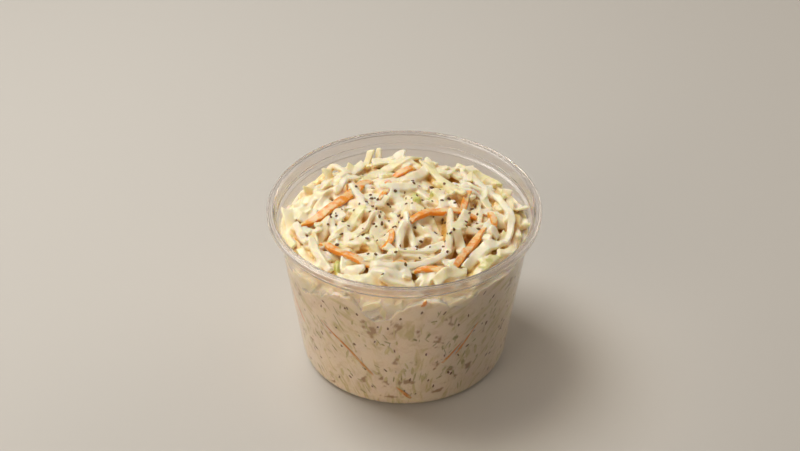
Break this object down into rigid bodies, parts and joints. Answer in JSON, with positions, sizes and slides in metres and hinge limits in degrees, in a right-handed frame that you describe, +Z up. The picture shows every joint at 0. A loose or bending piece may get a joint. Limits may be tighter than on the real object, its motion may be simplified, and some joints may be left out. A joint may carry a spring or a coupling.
{
  "type": "cup of coleslaw",
  "caption": "Clear round plastic tub with a flat rim, heaped with coleslaw of shredded cabbage and carrot in creamy dressing, topped with cracked pepper.",
  "frame": {"origin": "centre of the cup's flat base, on the surface it stands on", "axes": "+Z up along the cup's axis, the front shown in the picture faces -Y, +X to the right seen from the front"},
  "size_m": [0.117, 0.117, 0.0777],
  "materials": {
    "clear_plastic": "clear, glossy, thin moulded wall",
    "dressed_slaw": "moist cream dressing over cabbage and carrot shreds"
  },
  "bodies": {
    "root": {"cup": "clear_plastic", "coleslaw": "dressed_slaw"}
  },
  "joints": []
}
